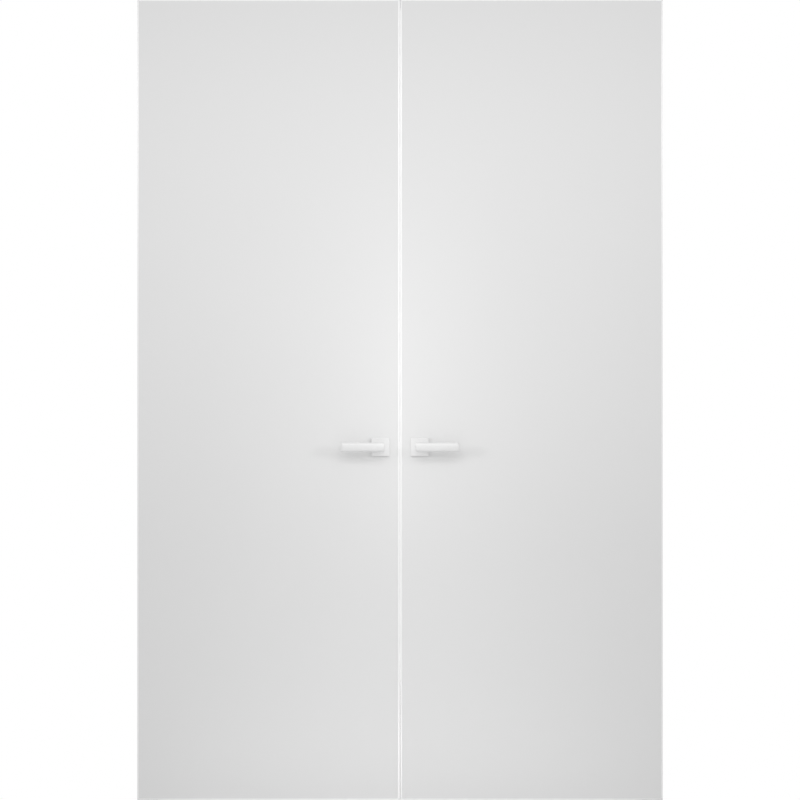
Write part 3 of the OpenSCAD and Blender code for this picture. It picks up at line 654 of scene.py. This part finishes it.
def superellipse(half_a, half_b, power, columns):
    """Points with |a/half_a|**power + |b/half_b|**power = 1, two arrays in step with the angle."""
    a, b = np.cos(round_of(columns)), np.sin(round_of(columns))
    across = half_a * np.sign(a) * np.abs(a) ** (2 / power)
    up = half_b * np.sign(b) * np.abs(b) ** (2 / power)
    return across, up


QUARTER = np.radians(np.linspace(0, 90, 6))
SIDES = {"left": -1, "right": 1}
FACES = {"front": 1, "back": -1}


def mirrored(rows, side, face):
    """The same rows for side -1 (the left leaf) or 1, and face -1 (the back) or 1 (the front)."""
    return rows * np.array([side, face, 1.0])


print("a corner is rounded in", len(QUARTER) - 1, "steps")

# %% [markdown]
# ## The lever
#
# The lever is a straight bar of flattened oval section, cut square at the rose end and chamfered at
# the free end, where the cut leans a little. A short turned neck carries it: a thin collar stands on
# the rose, the neck is waisted behind it and flares into the back of the bar. Bar and neck are two
# swept sections. The bar's end radii are drawn by shrinking the section over the last rows, the neck
# is a profile of radii spun round the handle's axis. Everything is drawn once, for the front of the
# right leaf, and mirrored to its other three places.

# %% Sizes of the lever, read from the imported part
lever_low, lever_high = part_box("front_lever_right")
rose_low, rose_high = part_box("front_rose_right")
AXIS_X = (rose_low.x + rose_high.x) / 2
AXIS_Z = (rose_low.z + rose_high.z) / 2
ROSE_FACE = -rose_low.y
BAR_HALF_H = (lever_high.z - lever_low.z) / 2
BAR_DEPTH = 18 * MM
BAR_HALF_D = BAR_DEPTH / 2
BAR_POWER = 2.0
CREST = 4.5 * MM
BAR_Y = -lever_low.y - BAR_HALF_D
NECK_R = 9.4 * MM
COLLAR_R = 11.3 * MM
END_RADIUS = 0.9 * MM
CHAMFER_L = 3.2 * MM
CHAMFER_IN = 1.5 * MM
LEAN = 2.6 * MM
LEAN_L = 4 * CHAMFER_L
print("bar", round((lever_high.x - lever_low.x) / MM, 1), "mm long, axis at", round(AXIS_X / MM, 1))

# %% The bar
BAR_ROWS, BAR_COLUMNS = 24, 72
TIP_RUN = np.array([0.0, 0.6, 1.0])
TIP_IN = np.array([0.0, 0.3, 1.0])


def lever_bar():
    """Ovals along x, each drawn in by a quarter of a circle at the root and a chamfer at the tip.

    The crest lifts the front of an oval by a square of its depth. Near the tip, rows lean back by a
    share of the lean that grows with the square of the way to the tip and evenly with the height.
    """
    root_x = lever_low.x + END_RADIUS * (1 - np.sin(QUARTER))[::-1]
    root_in = END_RADIUS * (1 - np.cos(QUARTER))[::-1]
    tip = lever_high.x - END_RADIUS / 2
    body_x = np.linspace(lever_low.x + END_RADIUS, tip - CHAMFER_L, BAR_ROWS)[1:]
    tip_x = tip + TIP_RUN * END_RADIUS / 2
    tip_in = CHAMFER_IN + TIP_IN * END_RADIUS / 2
    station = np.concatenate([root_x, body_x, tip_x])
    drawn_in = np.concatenate([root_in, np.zeros(len(body_x)), tip_in])
    deep, high = superellipse(BAR_HALF_D, BAR_HALF_H, BAR_POWER, BAR_COLUMNS)
    high = high + CREST * np.clip(-deep / BAR_HALF_D, 0, 1) ** 2
    share_d = 1 - drawn_in / BAR_HALF_D
    share_h = 1 - drawn_in / BAR_HALF_H
    y = deep[None, :] * share_d[:, None]
    z = high[None, :] * share_h[:, None]
    near_tip = np.clip((station - lever_high.x + LEAN_L) / LEAN_L, 0, 1) ** 2
    lean = LEAN * near_tip[:, None] * (z + BAR_HALF_H) / (2 * BAR_HALF_H)
    x = station[:, None] - lean
    return np.stack([x, -BAR_Y + y, AXIS_Z + z], axis=-1)


print("bar of", lever_bar().shape[:2], "points, rows by columns")

# %% The neck
NECK_COLUMNS = 64
COLLAR_FOOT, COLLAR_SIDE, COLLAR_TOP = -7 * MM, 1.6 * MM, 2.1 * MM
COLLAR_ARRIS = 0.5 * MM
WAIST_LOW, WAIST_HIGH = 2.2 * MM, 6 * MM
FLARE_BACK, FLARE_L, FLARE_ROWS = 7 * MM, 10 * MM, 9


def turned(profile):
    """A profile of (radius, distance from the leaf's middle plane) spun round the handle's axis."""
    radius, out = np.array(profile).T
    turn = round_of(NECK_COLUMNS)
    x = AXIS_X + radius[:, None] * np.cos(turn)
    z = AXIS_Z + radius[:, None] * np.sin(turn)
    return np.stack([x, np.broadcast_to(-out[:, None], x.shape), z], axis=-1)


def lever_neck():
    """Collar, waist and flare: the flare is a quarter of a cosine from the neck to the bar."""
    swell = np.linspace(0, 1, FLARE_ROWS)
    flare_r = NECK_R + (COLLAR_R - NECK_R) * (1 - np.cos(swell * np.pi / 2))
    flare_y = BAR_Y - BAR_HALF_D - FLARE_BACK + swell * FLARE_L
    profile = [(COLLAR_R, ROSE_FACE + COLLAR_FOOT), (COLLAR_R, ROSE_FACE + COLLAR_SIDE),
        (COLLAR_R - COLLAR_ARRIS, ROSE_FACE + COLLAR_TOP), (NECK_R, ROSE_FACE + WAIST_LOW),
        (NECK_R, ROSE_FACE + WAIST_HIGH)]
    return turned(profile + list(zip(flare_r, flare_y)))


for leaf, side in SIDES.items():
    for face, sign in FACES.items():
        shells = [shell(mirrored(rows, side, sign)) for rows in (lever_bar(), lever_neck())]
        piece_from(shells, f"{face}_lever_{leaf}_turned", [f"{face}_lever_{leaf}"])
print("four levers")

# %% [markdown]
# ## The rose
#
# A rose is the small plate that hides the holes behind a handle. This one is square outside and has a
# round hole in its middle, and one formula gives both: a superellipse. With a high power it is a
# square with tight corners, with power two it is a circle, and in between the rows flow from one to
# the other without a single crossing edge.

# %% The square plate with a round hole
ROSE_HALF = (rose_high.x - rose_low.x) / 2
ROSE_HOLE = COLLAR_R + 0.5 * MM
ROSE_ROUND = 1.1 * MM
HOLE_ROUND = 0.4 * MM
FLAT_ROWS, ROSE_COLUMNS = 12, 160
CIRCLE_POWER, SQUARE_POWER = 2, 36


def rose_rows():
    """Rows from the back rim over a rounded front edge to the hole, and back along the hole.

    The power falls from the square's to the circle's with the cube of the way that is left.
    """
    edge_r = ROSE_HALF - ROSE_ROUND * (1 - np.cos(QUARTER))
    edge_y = ROSE_FACE - ROSE_ROUND * (1 - np.sin(QUARTER))
    flat_r = np.linspace(ROSE_HALF - ROSE_ROUND, ROSE_HOLE + HOLE_ROUND, FLAT_ROWS)[1:]
    reach = np.concatenate([[ROSE_HALF], edge_r, flat_r, [ROSE_HOLE, ROSE_HOLE]])
    out = np.concatenate([[-rose_high.y], edge_y, np.full(len(flat_r), ROSE_FACE),
        [ROSE_FACE - HOLE_ROUND, -rose_high.y]])
    inward = np.clip((ROSE_HALF - ROSE_ROUND - reach) / (ROSE_HALF - ROSE_ROUND - ROSE_HOLE), 0, 1)
    power = CIRCLE_POWER + (SQUARE_POWER - CIRCLE_POWER) * (1 - inward) ** 3
    x, z = superellipse(reach[:, None], reach[:, None], power[:, None], ROSE_COLUMNS)
    return np.stack([AXIS_X + x, np.broadcast_to(-out[:, None], x.shape), AXIS_Z + z], axis=-1)


for leaf, side in SIDES.items():
    for face, sign in FACES.items():
        plate = shell(mirrored(rose_rows(), side, sign), ring=True)
        piece_from([plate], f"{face}_rose_{leaf}_pressed", [f"{face}_rose_{leaf}"])
print("four roses", round(2 * ROSE_HALF / MM, 1), "mm square")

# %% [markdown]
# ## The screws
#
# The screws in the plates and the frame are countersunk with a cross recess. Their places and sizes
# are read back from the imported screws: the merged mesh falls into islands, one a screw, and the box
# of each gives its axis, its head end and its length. The new screw is a profile spun round that
# axis: a flat head with a recess sunk into it, a cone, and a shank whose radius follows a saw wave
# that winds along it, which is a thread.

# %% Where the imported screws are
def islands(node):
    """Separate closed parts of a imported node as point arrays: labels spread along edges until still."""
    work = bmesh.new()
    work.from_mesh(nodes[node].data)
    bmesh.ops.remove_doubles(work, verts=work.verts, dist=WELD)
    mesh = bpy.data.meshes.new("merged")
    work.to_mesh(mesh)
    work.free()
    points = np.empty(len(mesh.vertices) * 3)
    mesh.vertices.foreach_get("co", points)
    ends = np.empty(len(mesh.edges) * 2, int)
    mesh.edges.foreach_get("vertices", ends)
    ends = ends.reshape(-1, 2)
    label = np.arange(len(mesh.vertices))
    bpy.data.meshes.remove(mesh)
    while True:
        lowest = label[ends].min(axis=1)
        spread = label.copy()
        np.minimum.at(spread, ends[:, 0], lowest)
        np.minimum.at(spread, ends[:, 1], lowest)
        if np.array_equal(spread, label):
            break
        label = spread
    points = points.reshape(-1, 3)
    return [points[label == own] for own in np.unique(label)]


SCREW_NODES = ("frame_screws", "leaf_screws_left", "leaf_screws_right")
packed_screws = {node: islands(node) for node in SCREW_NODES}
print("screws", {node: len(found) for node, found in packed_screws.items()})


# %% How a packed screw lies
def measured(points):
    """Axis, centre, head's end, way inwards, length and both radii of the screw in these points.

    Across its axis a screw is as wide as high, and the half that is wider holds the head.
    """
    low, high = points.min(axis=0), points.max(axis=0)
    size, centre = high - low, (low + high) / 2
    axis = int(np.argmin(np.abs(np.roll(size, -1) - np.roll(size, -2))))
    a, b = [k for k in range(3) if k != axis]
    radius = np.hypot(points[:, a] - centre[a], points[:, b] - centre[b])
    near_low = points[:, axis] < centre[axis]
    head_low = radius[near_low].max() > radius[~near_low].max()
    shank_r = radius[~near_low if head_low else near_low].max()
    top, inward = (low[axis], 1) if head_low else (high[axis], -1)
    return axis, centre, top, inward, size[axis], radius.max(), shank_r


*_, length, head_r, shank_r = measured(packed_screws["frame_screws"][0])
print("a frame screw is", round(length / MM, 1), "mm long, its head", round(2 * head_r / MM, 1))

# %% A countersunk screw
PITCH = 2.0 * MM
THREAD_DEPTH = 0.24
RECESS = 1.6 * MM
ARM_WIDTH, ARM_REACH = 0.11, 0.68
RIM = 0.3 * MM
LONGEST_CONE = 0.4
POINT = [0.6, 0.15]
HEAD_ROWS, SCREW_COLUMNS = 10, 32
SCREW_SHARP = 50.0


def screw_rows(points):
    """Head, cone and thread spun round the axis of a packed screw.

    The radius falls by a share of the depth that is a saw wave of the way along in pitches less the
    angle in turns. The recess is as deep as two ramps multiplied: one falls with the distance from
    the nearer arm's middle, in shares of the head's radius, the other towards the ends of the arms.
    """
    axis, centre, top, inward, length, head_r, shank_r = measured(points)
    turn = round_of(SCREW_COLUMNS)
    face_r = head_r * np.linspace(0.04, 1, HEAD_ROWS)
    cone = min(head_r - shank_r, LONGEST_CONE * length)
    run = np.arange(cone, max(length - 1.5 * PITCH, cone + 0.1 * MM), PITCH / 3)[1:]
    tip = [length - 0.5 * PITCH, length]
    along = np.concatenate([np.zeros(HEAD_ROWS), [RIM, cone], run, tip])
    reach = np.concatenate([face_r, [head_r, shank_r], np.full(len(run), shank_r),
        np.array(POINT) * shank_r])
    threaded = np.concatenate([np.zeros(HEAD_ROWS + 2), np.ones(len(run)), np.zeros(len(tip))])
    threaded = threaded[:, None]
    tooth = np.abs((along[:, None] / PITCH - turn / (2 * np.pi)) % 1 - 0.5) * 2
    r = reach[:, None] * (1 - THREAD_DEPTH * threaded * tooth)
    off_arm = r * np.minimum(np.abs(np.cos(turn)), np.abs(np.sin(turn)))
    beside = np.clip(1.5 - off_arm / (ARM_WIDTH * head_r), 0, 1)
    within = np.clip(4 * (ARM_REACH - r / head_r), 0, 1)
    on_face = np.arange(len(along))[:, None] < HEAD_ROWS
    rows = np.empty((len(along), SCREW_COLUMNS, 3))
    a, b = [k for k in range(3) if k != axis]
    rows[..., a] = centre[a] + r * np.cos(turn)
    rows[..., b] = centre[b] + r * np.sin(turn)
    rows[..., axis] = top + inward * (along[:, None] + RECESS * (beside * within) * on_face)
    return rows


for node, found in packed_screws.items():
    screws = [shell(screw_rows(points)) for points in found]
    piece_from(screws, node + "_cut", [node], sharp=SCREW_SHARP)
    print(node, len(screws), "cut")

# %% [markdown]
# ## The bolt's spring
#
# Inside the lock a small compression spring pushes the bolt back when the magnet lets it go. Wound
# wire is a ring of points carried along a helix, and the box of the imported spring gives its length
# and its width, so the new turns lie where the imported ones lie.

# %% Wire wound along a helix
WIRE_R = 0.45 * MM
WIRE_COLUMNS = 14
SPRING_TURNS = 7
ROWS_A_TURN = 40


def spring_rows():
    """Rings of radius WIRE_R round the points (x, r cos t, r sin t), with x growing evenly with t."""
    low, high = (np.array(corner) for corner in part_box("bolt_spring"))
    middle = (low + high) / 2
    coil_r = (high[1] - low[1]) / 2 - WIRE_R
    t = np.linspace(0, 2 * np.pi * SPRING_TURNS, SPRING_TURNS * ROWS_A_TURN + 1)[:, None]
    w = round_of(WIRE_COLUMNS)
    run = (high[0] - low[0] - 2 * WIRE_R) * t / t[-1]
    r = coil_r + WIRE_R * np.cos(w)
    return np.stack([low[0] + WIRE_R + run + WIRE_R * np.sin(w),
        middle[1] + r * np.cos(t), middle[2] + r * np.sin(t)], axis=-1)


spring = piece_from([shell(spring_rows())], "bolt_spring_wound", ["bolt_spring"])
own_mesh(spring)
print("spring", SPRING_TURNS, "turns")

# %% [markdown]
# ## The studio
#
# The doors stand on a pale floor in a white room. The room's even light fills every corner. On top
# of it, broad lamps in front of the doors give the soft glow over the meeting line, two cones cross
# over from the sides, and one lamp stands behind the doors and lights their backs. In the picture
# both levers throw a soft shadow outwards and neither throws one inwards, as if each leaf had been
# lit by itself from the other leaf's side. Blender can do just that: a lamp may carry a collection
# of receivers, and it then shines on these alone. Those lamps stand in front of the other leaf.

# %% Lamps
def hang(name, data, place, aim):
    """Puts a lamp at place, turned towards aim and kept out of the camera's sight."""
    made = bpy.data.objects.new(name, data)
    made.location = place
    towards = Vector(aim) - Vector(place)
    made.rotation_euler = towards.to_track_quat("-Z", "Y").to_euler()
    made.visible_camera = False
    bpy.context.scene.collection.objects.link(made)
    return made


def on_side(side, place):
    """A place that is given for side 1, or its mirror image for side -1."""
    return side * place[0], place[1], place[2]


print("a lamp stands at a place, looks at an aim and is out of sight")

# %% Three kinds of lamp
SEAM_SLACK = 1 * MM


def panel_lamp(name, place, aim, size, watts, spread=180):
    """A flat rectangular lamp, wide and high in metres, that shines within spread degrees."""
    data = bpy.data.lights.new(name, "AREA")
    data.shape = "RECTANGLE"
    data.size, data.size_y = size
    data.energy = watts
    data.spread = math.radians(spread)
    hang(name, data, place, aim)


def cone_lamp(name, place, aim, radius, watts, angle):
    """A round lamp whose cone of the given degrees fades evenly to its rim."""
    data = bpy.data.lights.new(name, "SPOT")
    data.shadow_soft_size = radius
    data.energy = watts
    data.spot_size = math.radians(angle)
    data.spot_blend = 1.0
    hang(name, data, place, aim)


def leaf_lamp(name, place, radius, watts, side):
    """A round lamp that shines only on pieces on side -1 (left) or 1 (right), up to the seam."""
    data = bpy.data.lights.new(name, "POINT")
    data.shadow_soft_size = radius
    data.energy = watts
    made = hang(name, data, place, (0, 0, place[2]))
    lit = bpy.data.collections.new(name + "_lights")
    for piece in bpy.context.scene.objects:
        if piece.type == "MESH":
            across = np.empty(len(piece.data.vertices) * 3)
            piece.data.vertices.foreach_get("co", across)
            if (across[::3] * side).min() > -SEAM_SLACK:
                lit.objects.link(piece)
    made.light_linking.receiver_collection = lit
    return len(lit.objects)


print("kinds of lamp: panel, cone and leaf")

# %% The lamps in their places
PANELS = {
    "strip": dict(place=(0.0, -1.6, 2.1), aim=(0.0, 0.0, 1.5), size=(2.6, 0.4), watts=7.2),
    "tall": dict(place=(0.0, -0.9, 0.8), aim=(0.0, 0.0, 0.8), size=(0.3, 1.6), watts=0.85),
    "glow": dict(place=(0.0, -0.7, 1.35), aim=(0.0, 0.0, 1.3), size=(0.15, 0.8), watts=0.2),
    "kick": dict(place=(0.0, -0.95, 0.08), aim=(0.0, 0.0, 0.1), size=(1.3, 0.1), watts=0.3, spread=80),
    "back": dict(place=(0.0, 2.4, 2.2), aim=(0.0, 0.0, 1.1), size=(2.0, 1.0), watts=3.0)}
CROSS_PLACE, CROSS_AIM = (-2.6, -1.6, 1.7), (0.5, 0.0, 1.15)
SIDE_PLACE = (-0.4, -0.45, 1.15)
for name, settings in PANELS.items():
    panel_lamp(name, **settings)
for leaf, side in SIDES.items():
    place, aim = on_side(side, CROSS_PLACE), on_side(side, CROSS_AIM)
    cone_lamp("cross_" + leaf, place, aim, radius=0.3, watts=9.0, angle=50)
    count = leaf_lamp("side_" + leaf, on_side(side, SIDE_PLACE), radius=0.07, watts=2.35, side=side)
    print("the lamp of the", leaf, "leaf lights", count, "pieces")

# %% [markdown]
# ## A white room
#
# The background of the picture is pure white, but a room that bright would flood the doors and wash
# out their shading. A Light Path node knows which rays come straight from the camera, so the camera
# sees a world of full strength and everything else gets a little less light from it.

# %% A white room
ROOM_LIGHT = 0.77
world = bpy.data.worlds.new("white_room")
bpy.context.scene.world = world
world.use_nodes = True
room = world.node_tree
ray = room.nodes.new("ShaderNodeLightPath")
level = room.nodes.new("ShaderNodeMix")
level.inputs["A"].default_value = ROOM_LIGHT
level.inputs["B"].default_value = 1.0
room.links.new(ray.outputs["Is Camera Ray"], level.inputs["Factor"])
room.links.new(level.outputs[0], room.nodes["Background"].inputs["Strength"])
room.nodes["Background"].inputs["Color"].default_value = grey(1.0)
print("room light", ROOM_LIGHT, "of the white that the camera sees")

# %% [markdown]
# ## The floor
#
# A pale floor shows in the picture only by the shadow that falls on it. That shadow should end softly
# and not at the floor's rim, so the floor turns clear further out. Behind the doors it stays only
# where the doors hide it from the camera, which keeps the background as plain as a studio backdrop.
# So its mesh is a T: a wide piece in front and a narrow one behind the doors.

# %% A floor that fades out
FLOOR_HALF = 6.0
FLOOR_WHITE = 0.78
NEAR, FAR = 1.2, 4.5
FRONT = (-0.10, float(cad_high.y))
HIDDEN = (0.45, float(cad_high.x) - 0.01)
floor_mesh = bpy.data.meshes.new("floor")
floor_parts = ((FLOOR_HALF, -FLOOR_HALF, FRONT[1]), (HIDDEN[1], FRONT[1], FLOOR_HALF))
floor_mesh.from_pydata(
    [(side * half, y, 0) for half, y0, y1 in floor_parts
     for side, y in ((-1, y0), (1, y0), (1, y1), (-1, y1))],
    [], [(0, 1, 2, 3), (4, 5, 6, 7)])
floor = bpy.data.objects.new("floor", floor_mesh)
bpy.context.scene.collection.objects.link(floor)
pale = Finish("pale_floor", {"Roughness": 0.8, "Base Color": grey(FLOOR_WHITE)})
spot = pale.node("ShaderNodeSeparateXYZ", None, {"Vector": pale.place})
away = pale.node("ShaderNodeVectorMath", {"operation": "LENGTH"}, {0: pale.place}, output=1)
in_front = spot.other("Y").span(*FRONT, 1.0, 0.0)
behind = spot.math("ABSOLUTE").span(*HIDDEN, 1.0, 0.0)
pale.paint(alpha=in_front.math("MAXIMUM", behind) * away.span(NEAR, FAR, 1.0, 0.0))
floor_mesh.materials.append(pale.material)
floor.is_shadow_catcher = True
print("floor fades from", NEAR, "to", FAR, "m")

# %% [markdown]
# ## The camera
#
# It stands far back with a long lens, level with the middle of the leaves, so that their edges stay
# upright and parallel and the frame behind them stays out of sight. The lens follows from the
# height of the picture at the doors: sensor over lens is as height over distance.

# %% Camera
PICTURE_HEIGHT = 2.2985
CAMERA_AWAY = 14.0
CAMERA_DROP = 0.8 * MM
face_low, face_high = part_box("front_skin_right")
leaf_middle = (face_low.z + face_high.z) / 2
camera_data = bpy.data.cameras.new("camera")
camera_data.sensor_width = 36.0
camera_data.lens = camera_data.sensor_width * CAMERA_AWAY / PICTURE_HEIGHT
camera = bpy.data.objects.new("camera", camera_data)
camera.location = (0.0, face_low.y - CAMERA_AWAY, leaf_middle - CAMERA_DROP)
camera.rotation_euler = (math.pi / 2, 0.0, 0.0)
bpy.context.scene.collection.objects.link(camera)
bpy.context.scene.camera = camera
bpy.context.scene.view_settings.view_transform = "Standard"
print("lens", round(camera_data.lens, 1), "mm, level at", round(leaf_middle, 3))
